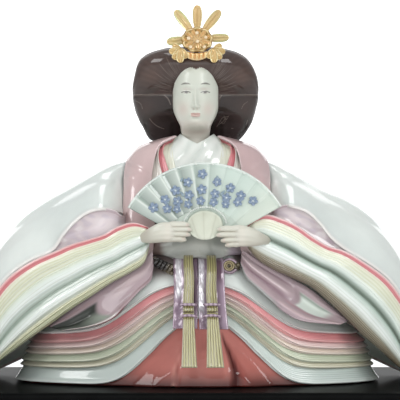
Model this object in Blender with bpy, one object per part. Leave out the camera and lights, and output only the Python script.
"""Seated court-lady festival doll in glazed porcelain on a lacquered stand.

All shapes are worked out in millimetres and turned into metres when an object is made.
X runs to the viewer's right, Y to the back, Z up. The origin is under the middle of the stand.
"""
import math

import bpy
import bmesh
import numpy as np

for old in list(bpy.data.objects):
    bpy.data.objects.remove(old, do_unlink=True)

MM = 0.001

# ---------------------------------------------------------------- driving sizes, mm
STAND_W, STAND_D, STAND_T = 380.0, 230.0, 14.7
FELT_T = 1.0
TOP = 16.0                        # height of the stand's upper face
BACK = -11.0                      # the neck axis lies this far in front of the stand's middle
WALL = 2.2                        # thickness of a clay layer, measured level
STEP = 2.9                        # level distance from one robe layer to the next
GAP = 0.4                         # clearance between neighbouring pieces
FAN_TILT = math.radians(8.0)
FAN_R, FAN_IN = 62.0, 29.0
NECK_W, NECK_R, PEG_R, PEG_HOLE = 10.0, 9.2, 5.0, 5.4
HEAD_X = -1.0


# ---------------------------------------------------------------- curves and nets
def smooth(x, xs, ys):
    """Cubic curve through (xs, ys), read at x."""
    xs, ys = np.asarray(xs, float), np.asarray(ys, float)
    x = np.clip(np.asarray(x, float), xs[0], xs[-1])
    m = np.gradient(ys, xs)
    i = np.clip(np.searchsorted(xs, x) - 1, 0, len(xs) - 2)
    h = xs[i + 1] - xs[i]
    t = (x - xs[i]) / h
    return ((2 * t**3 - 3 * t**2 + 1) * ys[i] + (t**3 - 2 * t**2 + t) * h * m[i]
            + (-2 * t**3 + 3 * t**2) * ys[i + 1] + (t**3 - t**2) * h * m[i + 1])


def path(points, n):
    """n points, evenly parted by length, on a smooth curve through the given ones."""
    p = np.asarray(points, float)
    d = np.concatenate([[0], np.cumsum(np.linalg.norm(np.diff(p, axis=0), axis=1))])
    fine = np.linspace(0, d[-1], 400)
    q = np.stack([smooth(fine, d, p[:, k]) for k in range(p.shape[1])], 1)
    s = np.concatenate([[0], np.cumsum(np.linalg.norm(np.diff(q, axis=0), axis=1))])
    want = np.linspace(0, s[-1], n)
    return np.stack([np.interp(want, s, q[:, k]) for k in range(p.shape[1])], 1)


def net(rows, nu, nv):
    """Grid of nu by nv points on a smooth surface through rows of control points."""
    across = np.stack([path(r, nv) for r in rows], 0)
    t = np.linspace(0, 1, len(rows))
    want = np.linspace(0, 1, nu)
    out = np.empty((nu, nv, 3))
    for j in range(nv):
        for k in range(3):
            out[:, j, k] = smooth(want, t, across[:, j, k])
    return out


def normals(g, wrap=False):
    """Unit normals of a grid of points."""
    if wrap:
        du = np.roll(g, -1, 0) - np.roll(g, 1, 0)
    else:
        du = np.gradient(g, axis=0)
    dv = np.gradient(g, axis=1)
    n = np.cross(du, dv)
    return n / np.maximum(np.linalg.norm(n, axis=2, keepdims=True), 1e-9)


# ---------------------------------------------------------------- making objects
MATERIALS = {}


def material(name, colour, rough=0.18, metal=0.0):
    if name not in MATERIALS:
        m = bpy.data.materials.new(name)
        m.use_nodes = True
        b = m.node_tree.nodes["Principled BSDF"]
        b.inputs["Base Color"].default_value = (*colour, 1)
        b.inputs["Roughness"].default_value = rough
        b.inputs["Metallic"].default_value = metal
        MATERIALS[name] = m
    return MATERIALS[name]


EYE = np.array([2.1, -1576.0, 142.9])     # the proportions were judged from this far in front


def seated(p):
    """Draws nearer pieces in a little, and lets the upper body down on the skirt."""
    x, y, z = p
    s = 1 + min(0.0, 20 + y + BACK) / 1556
    w = min(max((z - 20) / 60, 0.0), 1.0)
    return np.array([x + (EYE[0] + (x - EYE[0]) * s - x) * w, y, z + (EYE[2] + (z - 147.6) * s - z) * w])


def put(name, bm, mat, place=True, pivot=None, seat=True):
    """Turns a bmesh in millimetres into an object; pivot is its origin, on its joint's axis."""
    bmesh.ops.recalc_face_normals(bm, faces=bm.faces)
    move = seated if place and seat else np.array
    o0 = move(pivot) if pivot is not None else np.zeros(3)
    shift = np.array([0, BACK if place else 0, 0])
    for v in bm.verts:
        v.co = (move(v.co) - o0) * MM
    me = bpy.data.meshes.new(name)
    bm.to_mesh(me)
    bm.free()
    me.shade_smooth()
    me.set_sharp_from_angle(angle=math.radians(35))
    ob = bpy.data.objects.new(name, me)
    bpy.context.scene.collection.objects.link(ob)
    ob.location = tuple((o0 + shift) * MM)
    me.materials.append(mat)
    return ob


def quads(bm, a, wrap_u=False, wrap_v=False, flip=False):
    """Adds a grid of points and its faces; returns the vertices."""
    vs = [[bm.verts.new(p) for p in row] for row in a]
    nu, nv = len(vs), len(vs[0])
    for i in range(nu if wrap_u else nu - 1):
        for j in range(nv if wrap_v else nv - 1):
            f = [vs[i][j], vs[(i + 1) % nu][j], vs[(i + 1) % nu][(j + 1) % nv], vs[i][(j + 1) % nv]]
            bm.faces.new(f[::-1] if flip else f)
    return vs


def slab(name, outer, inner, mat, wrap=False, **kw):
    """Closed sheet between two grids of the same size; wrap joins its first and last rows."""
    bm = bmesh.new()
    a = quads(bm, outer, wrap_u=wrap)
    b = quads(bm, inner, wrap_u=wrap, flip=True)
    nu, nv = len(a), len(a[0])
    for i in range(nu if wrap else nu - 1):
        k = (i + 1) % nu
        bm.faces.new([a[k][0], a[i][0], b[i][0], b[k][0]])
        bm.faces.new([a[i][nv - 1], a[k][nv - 1], b[k][nv - 1], b[i][nv - 1]])
    if not wrap:
        for j in range(nv - 1):
            bm.faces.new([a[0][j], a[0][j + 1], b[0][j + 1], b[0][j]])
            bm.faces.new([a[nu - 1][j + 1], a[nu - 1][j], b[nu - 1][j], b[nu - 1][j + 1]])
    return put(name, bm, mat, **kw)


def sheet(name, grid, thick, mat, **kw):
    """Closed sheet whose outer face is the grid; thick is measured along its normals, inwards."""
    n = normals(grid)
    return slab(name, grid, grid - n * thick, mat, **kw)


def loft(name, rings, mat, **kw):
    """Solid through closed rings, with flat caps."""
    bm = bmesh.new()
    vs = quads(bm, rings, wrap_v=True)
    bm.faces.new(vs[0])
    bm.faces.new(vs[-1][::-1])
    return put(name, bm, mat, **kw)


def oval(cx, cy, z, a, bf, bb, n=24, power=2.2):
    """Level ring; bf and bb are its depths in front of and behind its middle."""
    t = np.linspace(0, 2 * math.pi, n, endpoint=False)
    s, c = np.sin(t), np.cos(t)
    x = cx + a * np.sign(s) * np.abs(s) ** (2 / power)
    y = cy - np.where(c > 0, bf, bb) * np.sign(c) * np.abs(c) ** (2 / power)
    return np.stack([x, y, np.full(n, float(z))], 1)


def cut(target, cutter):
    """Cuts target by cutter, which stays in the file as a hidden guide."""
    m = target.modifiers.new("cut", "BOOLEAN")
    m.operation, m.object, m.solver = "DIFFERENCE", cutter, "EXACT"
    cutter.hide_render = True
    cutter.display_type = "WIRE"


def mirrored(g):
    return (np.asarray(g) * np.array([-1, 1, 1]))[::-1]


# ---------------------------------------------------------------- the skirt's shape
SKIRT_H = [0, 10, 20, 33, 46, 60, 80, 95, 110]
SKIRT_A = [146, 140, 131, 116, 98, 79, 58, 47, 41]
SKIRT_F = [84, 81, 77, 72, 67, 61, 52, 45, 41]
SKIRT_B = [110, 105, 98, 87, 75, 63, 51, 45, 41]
HEM_X = [0, 19, 31.5, 45, 57.5, 66, 74, 86, 101, 146]
HEM_TOP = [70.5, 68, 63.2, 54.4, 45.6, 40.8, 38.2, 36.4, 35.2, 34]
HEM_LOW_X = [0, 16.6, 23.5, 30, 37, 44, 51, 56.5, 64, 72, 80, 92, 146]
HEM_LOW = [46.8, 40.9, 35.6, 30, 22.8, 16.2, 9.8, 5.8, 2.7, 1.5, 1.2, 1.2, 1.2]
HEM_MID = 4.5                     # the opening's middle lies this far to the viewer's right
SHARE = [1.0, 0.69, 0.575, 0.42, 0.30, 0.18, 0.0]   # hem of each layer, from inner to outer


def skirt_point(theta, h, off):
    """Point on the skirt at turn theta (0 in front), height h over the stand, off further out."""
    s, c = np.sin(theta), np.cos(theta)
    a = smooth(h, SKIRT_H, SKIRT_A) + off
    b = np.where(c > 0, smooth(h, SKIRT_H, SKIRT_F), smooth(h, SKIRT_H, SKIRT_B)) + off
    p = 2 / 2.15
    x = a * np.sign(s) * np.abs(s) ** p
    y = 4 - b * np.sign(c) * np.abs(c) ** p
    return np.stack([x, y, TOP + h + 0 * x], -1)


def hem_height(x, k):
    top = smooth(np.abs(x), HEM_X, HEM_TOP)
    low = smooth(np.abs(x - HEM_MID), HEM_LOW_X, HEM_LOW)
    return top + (low - top) * SHARE[k]


def hem_of(theta, k, off):
    """Height of layer k's hem at each turn."""
    h = np.full(theta.shape, 30.0)
    for _ in range(60):
        x = skirt_point(theta, h, off)[..., 0]
        h = 0.6 * h + 0.4 * hem_height(x, k)
    back = np.clip((-np.cos(theta) - 0.0) / 0.6, 0, 1)
    flat = 34 + (1.2 - 34) * SHARE[k]
    return h * (1 - back) + flat * back


def ring_band(name, k, rise, mat, nt=40, nh=2):
    """Layer k of the robes: a closed band from its hem up to rise over it, or to the waist."""
    off = -(6 - k) * STEP
    th = np.linspace(0, 2 * math.pi, nt, endpoint=False)
    low = hem_of(th, k, off)
    high = np.minimum(low + rise, 94.0)
    v = np.linspace(0, 1, nh)
    h = low[:, None] + (high - low)[:, None] * v[None, :]
    out = skirt_point(th[:, None] + 0 * h, h, off)
    inn = skirt_point(th[:, None] + 0 * h, h, off - WALL)
    return slab(name, out, inn, mat, wrap=True, seat=False)


WHITE = (0.80, 0.86, 0.82)
porcelain = material("porcelain_white", WHITE)
mint = material("glaze_mint", (0.70, 0.80, 0.74))
cream = material("glaze_cream", (0.78, 0.74, 0.58))
green = material("glaze_green", (0.60, 0.68, 0.52))
peach = material("glaze_peach", (0.78, 0.62, 0.52))
pink = material("glaze_pink", (0.76, 0.52, 0.52))
red = material("glaze_rose_red", (0.66, 0.20, 0.22))
coral = material("glaze_coral", (0.60, 0.20, 0.16))
mauve = material("glaze_mauve", (0.56, 0.40, 0.42))
lilac = material("lustre_lilac", (0.45, 0.33, 0.48), 0.12, 0.3)
olive = material("glaze_olive_gold", (0.45, 0.40, 0.14))
bronze = material("glaze_bronze", (0.22, 0.17, 0.09), 0.15, 0.4)
skin = material("porcelain_skin", (0.78, 0.76, 0.70), 0.22)
hair_m = material("glaze_hair", (0.07, 0.05, 0.045), 0.12)
gold = material("lustre_gold", (0.72, 0.52, 0.20), 0.15, 0.6)
celadon = material("glaze_celadon", (0.52, 0.66, 0.56))
lacquer = material("lacquer_black", (0.01, 0.01, 0.012), 0.08)
felt = material("felt_black", (0.02, 0.02, 0.02), 0.9)
wood = material("wood_dowel", (0.55, 0.38, 0.22), 0.6)

# ---------------------------------------------------------------- stand
def board_solid(name, w, d, z0, z1, corner, mat):
    bm = bmesh.new()
    bmesh.ops.create_cube(bm, size=1.0)
    for v in bm.verts:
        v.co = (v.co.x * w, v.co.y * d, (z0 + z1) / 2 + v.co.z * (z1 - z0))
    up = [e for e in bm.edges if abs(e.verts[0].co.z - e.verts[1].co.z) > 0.5]
    bmesh.ops.bevel(bm, geom=up, offset=corner, segments=5, profile=0.5, affect="EDGES")
    return put(name, bm, mat, place=False)


board = board_solid("stand_board", STAND_W, STAND_D, TOP - STAND_T, TOP, 14, lacquer)
bev = board.modifiers.new("edge", "BEVEL")
bev.width, bev.segments, bev.limit_method, bev.angle_limit = 2.0 * MM, 2, "ANGLE", math.radians(40)
board_solid("stand_felt", STAND_W - 14, STAND_D - 14, 0, FELT_T, 8, felt)

DOWEL_R, DOWEL_X, DOWEL_Y = 4.0, 26.0, 12.0
for fx, side in ((-1, "left"), (1, "right")):
    bm = bmesh.new()
    bmesh.ops.create_cone(bm, cap_ends=True, segments=20, radius1=DOWEL_R, radius2=DOWEL_R, depth=18)
    for v in bm.verts:
        v.co = (v.co.x + fx * DOWEL_X, v.co.y + DOWEL_Y, v.co.z + TOP - 8 + 9 + 0.0)
    put(f"locating_dowel_{side}", bm, wood, seat=False)
    bm = bmesh.new()
    bmesh.ops.create_cone(bm, cap_ends=True, segments=20, radius1=DOWEL_R + 0.35, radius2=DOWEL_R + 0.35, depth=30)
    for v in bm.verts:
        v.co = (v.co.x + fx * DOWEL_X, v.co.y + DOWEL_Y, v.co.z + TOP - 8.35 + 15)
    hole = put(f"hole_for_dowel_{side}", bm, wood, seat=False)
    cut(board, hole)

# ---------------------------------------------------------------- body core, under everything
CORE = [  # height, half width, depth in front, depth behind
    (TOP + 0.5, 108, 50, 80), (TOP + 12, 100, 48, 74), (TOP + 30, 78, 44, 58), (TOP + 50, 52, 38, 42),
    (TOP + 72, 32, 28, 28), (TOP + 94, 25, 22, 22), (130, 26, 19, 20), (150, 26, 14, 17),
    (166, 22, 10, 12.5), (176, 14, 8.0, 9.6), (182, 9, 7.2, 8.2),
]
core = loft("body_core", [oval(0, 4 * max(0, min(1, (110 - z) / 60)), z, a, f, b, 28) for z, a, f, b in CORE], porcelain)
for name in ("hole_for_dowel_left", "hole_for_dowel_right"):
    cut(core, bpy.data.objects[name])
bm = bmesh.new()
bmesh.ops.create_cone(bm, cap_ends=True, segments=24, radius1=PEG_HOLE, radius2=PEG_HOLE, depth=30)
for v in bm.verts:
    v.co = (v.co.x + HEAD_X, v.co.y, v.co.z + 166 + 15)
cut(core, put("hole_for_neck_peg", bm, wood))

# ---------------------------------------------------------------- divided skirt, red, pleated in front
nt, hs = 40, np.array([0.8, 9, 18, 27, 36, 46, 60])
th = np.linspace(0, 2 * math.pi, nt, endpoint=False)
H = np.tile(hs, (nt, 1))
T = np.tile(th[:, None], (1, len(hs)))
base_off = -7 * STEP
x0 = skirt_point(T, H, base_off)[..., 0]
below = np.clip((hem_height(x0, 0) - 11 - H) / 16, 0, 1) * (np.cos(T) > 0)
bulge = below * 8.0 * np.clip(1 - np.abs(x0) / 75, 0, 1) ** 0.5
out = skirt_point(T, H, base_off + bulge)
inn = skirt_point(T, H, base_off - WALL - 0.4)
slab("hakama_skirt", out, inn, coral, wrap=True, seat=False)

# ---------------------------------------------------------------- robe layers
ring_band("hem_layer_1_mint", 0, 21, mint, nh=3)
ring_band("hem_layer_2_cream", 1, 13, cream)
ring_band("hem_layer_3_green", 2, 13, green)
ring_band("hem_layer_4_peach", 3, 13, peach)
ring_band("hem_layer_5_pink", 4, 13, pink)
ring_band("hem_layer_6_red", 5, 13, red)
ring_band("outer_robe_skirt", 6, 200, porcelain, nh=7)

# ---------------------------------------------------------------- pleated train behind
nt, nh = 13, 7
w = np.linspace(-1, 1, nt)
h = np.linspace(1.2, 92, nh)
W, Hh = np.meshgrid(w, h, indexing="ij")
spread = smooth(Hh, [0, 30, 60, 95], [0.66, 0.60, 0.56, 0.50])
Tt = math.pi + W * spread
out = skirt_point(Tt, Hh, STEP + 1.6)
inn = skirt_point(Tt, Hh, STEP + 1.6 - WALL - 0.4)
slab("train_mo", out[::-1], inn[::-1], mint, seat=False)

# ---------------------------------------------------------------- waist sash and ribbons in front
def front_y(x, z, off=0.0):
    """Depth of the skirt's front face at x and z."""
    h = np.clip(z - TOP, 0, 110)
    a = smooth(h, SKIRT_H, SKIRT_A)
    f = smooth(h, SKIRT_H, SKIRT_F)
    q = np.clip(1 - np.abs(x / a) ** 2.15, 0, 1) ** (1 / 2.15)
    return 4 - f * q - off


def front_sheet(name, columns, z_top, z_low, off_top, off_low, thick, mat, nx, nz):
    """Sheet hanging before the skirt between two edges given as x at the top and at the foot."""
    (xa, xb), (xc, xd) = columns
    u = np.linspace(0, 1, nx)
    v = np.linspace(0, 1, nz)
    U, Vv = np.meshgrid(u, v, indexing="ij")
    x = (xa + (xb - xa) * U) * (1 - Vv) + (xc + (xd - xc) * U) * Vv
    z = z_top + (z_low - z_top) * Vv
    off = off_top + (off_low - off_top) * Vv
    y = front_y(x, z) - off
    g = np.stack([x, y, z], -1)
    back = g + np.array([0, thick, 0])
    return slab(name, g, back, mat)


sash = front_sheet("waist_sash", ((-30, 30), (-26, 26)), 124, 107.6, 8.6, 7.0, 2.4, porcelain, 9, 3)
front_sheet("ribbon_band_left", ((-16.6, 0.2), (-16.2, 0.6)), 107, 57, 7.0, 5.8, 2.4, lilac, 4, 6)
front_sheet("ribbon_band_right", ((1.2, 18.5), (1.6, 21.5)), 107, 56.5, 7.0, 5.8, 2.4, lilac, 4, 6)
for s, side, xt, xl in ((-1, "left", (-9.4, -2.8), (-10.0, -0.2)), (1, "right", (6.6, 13.2), (7.0, 18.0))):
    xm = (xt[0] + (xl[0] - xt[0]) * 0.45, xt[1] + (xl[1] - xt[1]) * 0.3)
    front_sheet(f"cord_strap_{side}", (xt, xm), 109, 69, 10.2, 9.8, 2.6, olive, 3, 5)
    front_sheet(f"tassel_{side}", (xm, xl), 68.6, 31.0, 10.2, 11.0, 3.4, olive, 3, 5)
for s, side in ((-1, "left"), (1, "right")):
    cx, half = (-23.6, 6.2) if s < 0 else (24.2, 4.4)
    rings = []
    for t in np.linspace(0, 1, 7):
        r = 4.6 * math.sqrt(max(0.05, 1 - (2 * t - 1) ** 2)) + 0.6
        a = np.linspace(0, 2 * math.pi, 12, endpoint=False)
        zz = 101.5 + 0.75 * r * np.sin(a)
        yy = front_y(cx, 101.5) - 6.4 + 0.0 + 0.55 * r * np.cos(a)
        rings.append(np.stack([np.full(12, cx + (t - 0.5) * 2 * half * s), yy, zz], 1))
    loft(f"cord_knot_{side}", rings, bronze)

# ---------------------------------------------------------------- short jacket: two fronts and a back
JF = [
    [(-24, -2.5, 190.2), (-34, -2.5, 188.5), (-43, -2.5, 184), (-49.5, -2.5, 176.5)],
    [(-30.2, -17.2, 179), (-37, -18, 177), (-45, -15.5, 173), (-51, -11, 168)],
    [(-31.4, -27.4, 161), (-38, -29, 161), (-46.5, -27.5, 159), (-52, -22, 155)],
    [(-30.4, -33.6, 145), (-38, -36, 145), (-46.5, -35, 144), (-52.5, -29, 142)],
    [(-29, -37, 128), (-38, -41, 128), (-46, -40, 128), (-52, -35, 128)],
    [(-30.2, -39, 114), (-38, -42, 114), (-45.5, -41.5, 114), (-51, -37, 114)],
    [(-31, -40.5, 101), (-38, -42.4, 101), (-45, -42.4, 101), (-50, -38.5, 101)],
]
g = net(JF, 13, 7)
sheet("jacket_front_left", g, 2.2, mauve)
sheet("jacket_front_right", mirrored(g), 2.2, mauve)
JB = [
    [(-49.5, -1.9, 176.5), (-43, -1.9, 184), (-31, -1.9, 188.8), (-24, -1.9, 189.2), (-19.5, 17.8, 184.5), (0, 24.6, 183), (19.5, 17.8, 184.5), (24, -1.9, 189.2), (31, -1.9, 188.8), (43, -1.9, 184), (49.5, -1.9, 176.5)],
    [(-51, 8, 169), (-44, 12, 174), (-31, 15.5, 177), (-26, 19.5, 175.5), (-17, 25.5, 173.5), (0, 28.5, 172.5), (17, 25.5, 173.5), (26, 19.5, 175.5), (31, 15.5, 177), (44, 12, 174), (51, 8, 169)],
    [(-52, 17, 155), (-45, 22, 157), (-33, 26.5, 158), (-25, 28.5, 158), (-16, 30, 158), (0, 31, 158), (16, 30, 158), (25, 28.5, 158), (33, 26.5, 158), (45, 22, 157), (52, 17, 155)],
    [(-52.5, 25, 138), (-46, 30, 138), (-35, 34.5, 138), (-26, 36, 138), (-16, 37, 138), (0, 37.5, 138), (16, 37, 138), (26, 36, 138), (35, 34.5, 138), (46, 30, 138), (52.5, 25, 138)],
    [(-50, 36, 116), (-44, 41, 116), (-34, 45.5, 116), (-26, 47.5, 116), (-16, 49, 116), (0, 49.5, 116), (16, 49, 116), (26, 47.5, 116), (34, 45.5, 116), (44, 41, 116), (50, 36, 116)],
]
g = net(JB, 8, 17)
sheet("jacket_back", g[::-1], 2.2, mauve)

# ---------------------------------------------------------------- layered collars, outer to inner
COLLARS = {
    "collar_4_white": ([(-23, -29.6, 140), (-24.5, -27.2, 152), (-25.5, -23.2, 166), (-24.0, -13.4, 180.6), (-19.2, -2.5, 189.6), (-13.4, 11.6, 187.0), (0, 17.8, 186.8)],
                       [(-33, -30.8, 140), (-33.5, -27.2, 152), (-33.2, -22, 164), (-30.5, -12.4, 176), (-22.6, -2.5, 182.6), (-14.9, 13.0, 180.8), (0, 20.0, 180.6)], porcelain),
    "collar_3_red": ([(-17, -27.4, 140), (-19, -25.2, 152), (-21.4, -21, 166), (-20.4, -12.0, 182), (-16.6, -1.8, 191.0), (-11.8, 10.4, 187.4), (0, 15.6, 187.2)],
                     [(-27, -27.2, 140), (-27.5, -24.4, 152), (-27.8, -19.6, 164), (-26.4, -10.6, 174.6), (-20.0, -2, 182.0), (-13.2, 11.4, 181.2), (0, 17.7, 180.8)], red),
    "collar_2_cream": ([(-8, -25.8, 140), (-11, -23.8, 152), (-14.5, -19.2, 166), (-16.0, -11.4, 182.4), (-14.2, -1.0, 191.8), (-10.5, 9.5, 187.6), (0, 13.6, 187.4)],
                       [(-21, -24.2, 140), (-22, -21.8, 152), (-22.8, -17.4, 164), (-21.2, -8.6, 173.6), (-17.0, -1.2, 183.0), (-12.0, 10.2, 181.2), (0, 15.5, 180.8)], cream),
}
for name, (inner_edge, outer_edge, mat) in COLLARS.items():
    a = np.array(inner_edge, float)
    b = np.array(outer_edge, float)
    a = np.concatenate([a, (a * [-1, 1, 1])[::-1][1:]])
    b = np.concatenate([b, (b * [-1, 1, 1])[::-1][1:]])
    pa, pb = path(a, 25), path(b, 25)
    g = np.stack([pa, (pa + pb) / 2, pb], 1)
    sheet(name, g[::-1], 1.2, mat)
# Innermost collar: a bib whose edge is the neckline.
a = path([(0, -14.8, 184.6), (-5.3, -13.2, 188.0), (-10.3, -7.4, 192.4), (-11.8, 0.2, 194.2), (-9.4, 8.3, 188.6), (0, 11.5, 187.4)], 12)
b = path([(-3, -22.0, 142), (-14, -18.0, 150), (-15.2, -11.2, 168), (-14.8, -2.5, 178), (-11, 7.8, 182), (0, 11.4, 182.4)], 12)
m = path([(-1, -20.0, 166), (-8.8, -16.6, 172), (-12.0, -9.6, 182), (-12.4, -0.6, 187.6), (-9.8, 8.1, 185.6), (0, 11.5, 185.4)], 12)
left = np.stack([a, m, b], 1)
whole = np.concatenate([left, (left * [-1, 1, 1])[::-1][1:-1]])
n = normals(whole, wrap=True)
slab("collar_1_white", whole, whole + n * 1.1, porcelain, wrap=True)

# ---------------------------------------------------------------- sleeves
# Edges of the sleeve's mouth, from the wrist out to the floor: U over it, L under it.
U_LEFT = [(-32.5, -58.5, 128), (-38.5, -57, 130.5), (-44.8, -55, 131.9), (-56, -53, 128.9), (-65.4, -51.5, 123.6), (-76, -50, 120.3),
          (-89.6, -48.5, 116.2), (-98.7, -47.5, 112.2), (-117, -45, 104.2), (-134, -42, 91.6), (-146, -39, 74), (-153, -36, 46), (-155, -33, 17.5)]
L_LEFT = [(-33.5, -56, 112.6), (-37, -54, 103.5), (-46, -52, 97), (-57.4, -50.5, 90.9), (-72.5, -48.5, 81), (-87.7, -46.5, 70.5),
          (-98.4, -45, 62.2), (-110, -43, 53.5), (-122, -41, 44), (-133, -39, 35), (-141, -37, 28), (-146, -35, 22), (-148.5, -33.5, 17.5)]
U_RIGHT = [(34.5, -57.8, 129.5), (40, -56.8, 134.3), (47.6, -55, 137.5), (58.8, -53, 135), (69.3, -51.5, 130.3), (82.6, -50, 121),
           (92.4, -48.5, 115.5), (102.5, -47.5, 112.4), (119, -45, 103), (135, -42, 90.5), (146, -39, 74), (153, -36, 46), (155, -33, 17.5)]
L_RIGHT = [(35.3, -56, 114.2), (38.5, -54, 110), (43.4, -52.5, 105), (52, -51, 99.5), (64, -49.5, 94), (80.5, -47.5, 86),
           (92, -46, 76), (102.5, -45, 65), (115, -43, 51.5), (127, -41, 40), (136, -38.5, 31), (143.5, -36, 24), (148, -34, 17.5)]
EDGE_LEFT = [(-53.6, -48.5, 136.5), (-56, -49.5, 138.5), (-65.4, -49.5, 141), (-76, -49, 139), (-86, -48.5, 132), (-94, -47.5, 123), (-101, -46, 114.5),
             (-117, -43.5, 107), (-134, -40.5, 94.5), (-146.5, -37.5, 76), (-154.5, -34.5, 46.5), (-157, -31.5, 17.5)]
EDGE_RIGHT = [(53.6, -48.5, 139.5), (60, -50, 143), (68, -49.5, 142.5), (77, -49, 139.5), (86, -48.5, 131.5), (94.5, -47.5, 121), (104, -46, 115),
              (119, -43.5, 106), (135, -40.5, 93.5), (146.5, -37.5, 76), (154.5, -34.5, 46.5), (157, -31.5, 17.5)]
TOP_LEFT = [(-53.6, -2, 174.8), (-65.4, -1, 170.5), (-76, 0, 163), (-89.6, 2, 155), (-98.7, 3, 150.4), (-117, 5, 139), (-134, 7, 122), (-148, 9, 98.6), (-158, 11, 63.6), (-162.5, 12, 30), (-163.5, 12, 17.5)]
TOP_RIGHT = [(53.6, -2, 174.4), (62.3, -1, 169.8), (75.8, 0, 160.4), (89.2, 2, 153), (102.5, 3, 148.4), (119, 5, 138), (135, 7, 121.5), (148, 9, 98.6), (158, 11, 63.6), (162.5, 12, 30), (163.5, 12, 17.5)]
FOOT_LEFT = [(-53.6, 39, 108), (-60, 48, 94), (-72, 56, 78), (-90, 66, 58), (-106, 70, 42), (-122, 69, 31), (-136, 63, 24), (-148, 52, 19), (-154, 44, 17.5)]


def sleeve_net(edge, top, sign, nu, nv):
    """Cape of the outer sleeve from its front edge over the arm to its back edge."""
    foot = np.array(FOOT_LEFT, float) * [(-1 if sign > 0 else 1), 1, 1]
    e, t, f = path(edge, nu), path(top, nu), path(foot, nu)
    out = []
    for i in range(nu):
        s = i / (nu - 1)
        lift = 1 - s
        a = e[i] * 0.5 + t[i] * 0.5 + np.array([0, -3.5 * lift - 5 * s, 4.0 * lift + 5 * s])
        c = f[i] * 0.5 + t[i] * 0.5 + np.array([0, 6.0 * lift + 6 * s, 9 * lift + 3 * s])
        out.append(path([e[i], a, t[i], c, f[i]], nv))
    return np.stack(out, 0)


g = sleeve_net(EDGE_LEFT, TOP_LEFT, -1, 15, 11)
sheet("outer_sleeve_left", g[::-1], 2.0, porcelain)
g = sleeve_net(EDGE_RIGHT, TOP_RIGHT, 1, 15, 11)
sheet("outer_sleeve_right", g, 2.0, porcelain)


def mouth(U, L, f, t, crease):
    """Point on the layered face of a sleeve's mouth; f runs from its upper to its lower edge."""
    n = 200
    u, l = path(U, n), path(L, n)
    k = np.asarray(t) * (n - 1)
    i = np.clip(k.astype(int), 0, n - 2)
    w = (k - i)[..., None]
    a = u[i] * (1 - w) + u[i + 1] * w
    b = l[i] * (1 - w) + l[i + 1] * w
    p = a * (1 - f[..., None]) + b * f[..., None]
    swell = smooth(f, [0, 0.12, 0.3, crease - 0.04, crease + 0.04, crease + 0.2, 0.85, 1.0], [0, 1.4, 2.2, 0.6, 1.0, 3.4, 1.6, -1.5])
    p[..., 1] -= swell
    return p


LAYERS = [("red", 0.0, 0.09, red), ("green", 0.09, 0.34, green), ("white", 0.34, 0.60, porcelain), ("mint", 0.60, 1.0, mint)]
for side, U, L, crease in (("left", U_LEFT, L_LEFT, 0.60), ("right", U_RIGHT, L_RIGHT, 0.46)):
    for k, (name, f0, f1, mat) in enumerate(LAYERS):
        nf = 3 if f1 - f0 > 0.12 else 2
        nt = 17
        t = np.linspace(0, 0.993, nt)
        f = np.linspace(f0, f1, nf)
        Tn, Fn = np.meshgrid(t, f, indexing="ij")
        g = mouth(U, L, Fn, Tn, crease)
        # A little clearance between neighbours, measured across the band.
        across = g[:, -1] - g[:, 0]
        across /= np.linalg.norm(across, axis=1, keepdims=True)
        g[:, 0] += across * 0.2
        g[:, -1] -= across * 0.2
        back = g + np.array([0, 2.0, 0])
        if side == "left":
            slab(f"sleeve_layer_{name}_{side}", g, back, mat)
        else:
            slab(f"sleeve_layer_{name}_{side}", g[::-1], back[::-1], mat)
    # Lining seen between the outer sleeve's lifted edge and the red layer.
    E = EDGE_LEFT if side == "left" else EDGE_RIGHT
    n = 9
    e = path(E[:6], n)
    u = path((U_LEFT if side == "left" else U_RIGHT)[3:8], n)
    e = e + np.array([0, 4.2, -1.2])
    u = u + np.array([0, 2.6, 1.2])
    mid = (e + u) / 2 + np.array([0, 2.4, 0])
    g = np.stack([e, mid, u], 1)
    back = g + np.array([0, 1.6, 0])
    slab(f"sleeve_lining_{side}", g if side == "left" else g[::-1], back if side == "left" else back[::-1], mauve)

# ---------------------------------------------------------------- jacket tails under the sleeves
TAIL_LEFT = [
    [(-31, -48.6, 112), (-30.6, -48.8, 106), (-30.4, -49, 100)],
    [(-40, -47.5, 104), (-36, -50.5, 97), (-32.5, -51.5, 91)],
    [(-52, -46, 97), (-46, -51, 88), (-41, -54, 83)],
    [(-66, -43.5, 88), (-57, -51, 78), (-50, -56.5, 72.5)],
    [(-80, -41.5, 78), (-68, -50.5, 69), (-58, -58, 64)],
    [(-94, -38.5, 66), (-84, -48.5, 61), (-72, -58.5, 58.5)],
    [(-104, -36, 58), (-99, -44, 56.5), (-93, -52, 55)],
]
TAIL_RIGHT = [
    [(31.5, -48.6, 113), (31, -48.8, 108), (30.4, -49, 103)],
    [(41, -47.5, 107), (37, -50.5, 99), (34.5, -51.5, 93)],
    [(53, -46, 100), (47.5, -51, 90), (43, -54, 85)],
    [(66, -43.5, 93), (58.5, -51, 83), (52.5, -56, 76)],
    [(80, -41.5, 85), (70.5, -50.5, 75), (61.5, -58, 68)],
    [(93, -38.5, 74), (84, -48.5, 68), (74, -58.5, 62)],
    [(106, -35.5, 62.5), (103, -43, 61), (99, -50, 59.5)],
]
g = net(TAIL_LEFT, 12, 5)
slab("jacket_tail_left", g, g + np.array([0, 2.0, 0]), mauve)
g = net(TAIL_RIGHT, 12, 5)[::-1]
slab("jacket_tail_right", g, g + np.array([0, 2.0, 0]), mauve)

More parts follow.
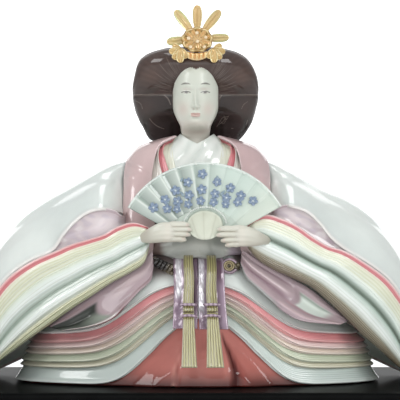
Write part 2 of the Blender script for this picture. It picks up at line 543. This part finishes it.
# ---------------------------------------------------------------- hands
def hand(side, s, drop):
    cx = [30.5, 26, 20, 14, 8, 3.5, 1.4]
    top = [128.5, 131, 133, 133, 132.2, 130.5, 128]
    low = [120.5, 118.6, 118, 118.4, 119.5, 120.8, 122.5]
    yy = [-64.8, -67.2, -68.2, -68.2, -67.8, -67.2, -66.6]
    ty = [2.6, 3.6, 3.9, 3.6, 3.0, 2.4, 1.4]
    rings = []
    for x, a, b, y, w in zip(cx, top, low, yy, ty):
        t = np.linspace(0, 2 * math.pi, 14, endpoint=False)
        z = (a + b) / 2 + (a - b) / 2 * np.sin(t) - drop
        rings.append(np.stack([np.full(14, s * x if s < 0 else x + 17.5), y + w * np.cos(t), z], 1))
    return loft(f"hand_{side}", rings, skin)


hand("left", -1, 0.0)
hand("right", 1, 2.2)

# ---------------------------------------------------------------- folding fan
FX, FY, FZ = 5.6, -63.6, 112.6
ft = math.tan(FAN_TILT)


def fan_point(r, a, lift=0.0):
    """Point of the fan at radius r and angle a from level; lift is towards the viewer."""
    x = FX + r * math.cos(a)
    rise = r * math.sin(a)
    return (x, FY + rise * math.sin(FAN_TILT) - lift * math.cos(FAN_TILT), FZ + rise * math.cos(FAN_TILT) - lift * math.sin(FAN_TILT))


def fan_sector(name, r0, r1, folds, amp, thick, mat, lift0=0.0):
    a0, a1 = math.radians(30), math.radians(151)
    n = folds * 2 + 1
    out, inn = [], []
    for i in range(n):
        a = a1 + (a0 - a1) * i / (n - 1)
        z = lift0 + (amp if i % 2 else 0.0)
        out.append([fan_point(r0, a, z), fan_point(r1, a, z * 1.0)])
        inn.append([fan_point(r0, a, z - thick), fan_point(r1, a, z - thick)])
    return slab(name, np.array(out), np.array(inn), mat, pivot=(FX, FY, FZ))


fan_sector("fan_leaf", FAN_IN, FAN_R, 9, 0.9, 1.2, celadon)
fan_sector("fan_sticks", 6.5, FAN_IN - 0.4, 9, 0.3, 1.2, cream)
# ---------------------------------------------------------------- head on its neck peg
HEAD = [  # height, half width, front y, back y
    (168, PEG_R, -PEG_R, PEG_R), (183.4, PEG_R, -PEG_R, PEG_R), (184.2, NECK_W, -NECK_R, NECK_R), (194, NECK_W - 0.3, -NECK_R, NECK_R),
    (198.8, NECK_W, -15.5, NECK_R), (200.2, 9.2, -20.5, 10), (204, 12.2, -22.3, 12), (210, 15, -22.8, 15), (218, 16.6, -23.2, 18),
    (226, 16.8, -23.2, 20), (234, 16.2, -22, 20), (241, 14.5, -19, 18), (247, 11, -13, 14), (250, 6, -7, 9),
]


def head_rings(grow, n):
    rings = []
    for z, a, f, b in HEAD:
        c = (f + b) / 2
        d = (b - f) / 2
        rings.append(oval(HEAD_X, c, z, a + grow, d + grow, d + grow, n, 2.0))
    rings[-1][:, 2] += grow
    return rings


loft("head", head_rings(0, 24), skin, pivot=(HEAD_X, 0, 190))
cutter = loft("head_space_in_hair", head_rings(0.4, 24), skin)

# Upper hair: wide wings combed back from the brow. Lower hair: the lobes under them.
HAIR_UP = [  # height, half width, front y, back y, exponent
    (221.6, 44.2, -6, 27, 2.3), (224, 45.2, -9, 28.5, 2.3), (230, 45.2, -13, 30, 2.3), (238, 43.8, -17.5, 30, 2.3), (245, 39.8, -20, 28.5, 2.3), (250.5, 33, -19, 25, 2.2), (254.2, 22, -14, 18, 2.1),
]
up_rings = []
for z, a, f, b, e in HAIR_UP:
    up_rings.append(oval(HEAD_X, (f + b) / 2, z, a, (b - f) / 2, (b - f) / 2, 36, e))
hair_up = loft("hair_wings", up_rings, hair_m, pivot=(HEAD_X, 0, 190))
cut(hair_up, cutter)
HAIR_LOW = [
    (188.6, 24, 13.5, 25.5), (191.5, 31, 12, 26), (196.6, 36.5, 9, 27), (203.6, 40.6, 3, 28), (211, 43.2, -2, 28.5), (221.2, 43.8, -4.5, 27.5),
]
low_rings = [oval(HEAD_X, (f + b) / 2, z, a, (b - f) / 2, (b - f) / 2, 32, 2.6) for z, a, f, b in HAIR_LOW]
hair_low = loft("hair_lobes", low_rings, hair_m, pivot=(HEAD_X, 0, 190))
cut(hair_low, cutter)

# Long tail of hair down the back, with its paper tie.
def tail_ring(c, w, d, n=14):
    t = np.linspace(0, 2 * math.pi, n, endpoint=False)
    return np.stack([c[0] + w * np.cos(t), c[1] + d * np.sin(t), np.full(n, c[2])], 1)


TAIL = []
for z, w in ((184.5, 9), (174, 12), (158, 13.5), (140, 14.5), (126, 15), (112, 15.5), (98, 16.5), (84, 17), (70, 17.5), (58, 17.5), (46, 15), (36, 10)):
    if z > 115:
        y = smooth(z, [112, 116, 138, 158, 172, 183], [51.5, 49.5, 37.5, 31, 28.5, 24.6])
        y = y + 5.4
    else:
        y = 4 + smooth(z - TOP, SKIRT_H, SKIRT_B) + STEP + 1.6 + 7.6
    TAIL.append(((0, float(y), z), w, 3.4))
TAIL[0] = ((0, 29.6, 186.0), 8.5, 2.4)
tp = path([c for c, _, _ in TAIL], 17)
ss = np.linspace(0, 1, len(TAIL))
ws = smooth(np.linspace(0, 1, 17), ss, [w for _, w, _ in TAIL])
ds = smooth(np.linspace(0, 1, 17), ss, [d for _, _, d in TAIL])
loft("hair_tail", [tail_ring(tp[i], ws[i], ds[i]) for i in range(17)], hair_m)

# ---------------------------------------------------------------- crown on its pin
CY = -20.5


def leaf(cx, cz, ang, length, width, n=9):
    """Outline of a petal pointing along ang."""
    pts = []
    for i in range(n + 1):
        t = math.pi * i / n
        along = length * (0.5 - 0.5 * math.cos(t))
        wide = width * math.sin(t) ** 0.75 * (0.75 + 0.35 * along / length)
        pts.append((along, wide))
    out = [(a, w) for a, w in pts] + [(a, -w) for a, w in pts[1:-1][::-1]]
    c, s = math.cos(ang), math.sin(ang)
    return [(cx + a * c - w * s, cz + a * s + w * c) for a, w in out]


def plate(name, outline, y, thick, mat):
    bm = bmesh.new()
    front = [bm.verts.new((x, y, z)) for x, z in outline]
    f = bm.faces.new(front)
    ext = bmesh.ops.extrude_face_region(bm, geom=[f])
    bmesh.ops.translate(bm, vec=(0, thick, 0), verts=[v for v in ext["geom"] if isinstance(v, bmesh.types.BMVert)])
    return put(name, bm, mat, pivot=(0, -12, 246))


RAYS = [(90, 15.5, 3.4), (131, 17.5, 3.5), (51, 17.5, 3.5), (186, 13.5, 3.2), (-4, 13.5, 3.2)]


def union_plate(name, outlines, y, thick, mat):
    """Flat plate made of several overlapping outlines, joined."""
    first = plate(name, outlines[0], y, thick, mat)
    for k, o in enumerate(outlines[1:]):
        other = plate(f"{name}_add_{k}", o, y, thick, mat)
        m = first.modifiers.new("join", "BOOLEAN")
        m.operation, m.object, m.solver = "UNION", other, "EXACT"
        other.hide_render = True
        other.display_type = "WIRE"
    return first


disc = [(-0.5 + 7.4 * math.cos(t), 260.5 + 7.4 * math.sin(t)) for t in np.linspace(0, 2 * math.pi, 24, endpoint=False)]
rays = [leaf(-0.5 + 5.5 * math.cos(math.radians(d)), 260.5 + 5.5 * math.sin(math.radians(d)), math.radians(d), l + 2.5, w) for d, l, w in RAYS]
union_plate("crown_rays", [disc] + rays, CY, 1.6, gold)
bm = bmesh.new()
bmesh.ops.create_cone(bm, cap_ends=True, segments=24, radius1=8.6, radius2=6.2, depth=3.6)
for v in bm.verts:
    p = v.co.copy()
    v.co = (p.x * 1.28 - 0.3, CY - 0.3 - 1.8 - p.z, 260.5 + p.y)
put("crown_boss", bm, gold, pivot=(0, -12, 246))
band = [(x, 250.4 - 3.4 * math.cos(x / 12.5 * math.pi / 2) + 2.0) for x in np.linspace(-12.5, 12.5, 9)]
band += [(x, 248.8 - 6.2 * math.cos(x / 12.5 * math.pi / 2) + 2.6) for x in np.linspace(12.5, -12.5, 9)]
tips = [leaf(k * 12.2, 252.4, math.radians(-90 + k * 24), 9.5, 3.1) for k in (-1, 1)]
union_plate("crown_band", [band] + tips, CY - 2.0, 1.7, gold)
bm = bmesh.new()
bmesh.ops.create_cone(bm, cap_ends=True, segments=14, radius1=1.5, radius2=1.5, depth=20)
for v in bm.verts:
    v.co = (v.co.x - 0.5, v.co.y - 17.0, v.co.z + 246)
put("crown_pin", bm, gold, pivot=(0, -12, 246))
bm = bmesh.new()
bmesh.ops.create_cone(bm, cap_ends=True, segments=14, radius1=1.8, radius2=1.8, depth=40)
for v in bm.verts:
    v.co = (v.co.x - 0.5, v.co.y - 17.0, v.co.z + 255.6)
pin_hole = put("hole_for_crown_pin", bm, gold)
cut(hair_up, pin_hole)
cut(bpy.data.objects["head"], pin_hole)
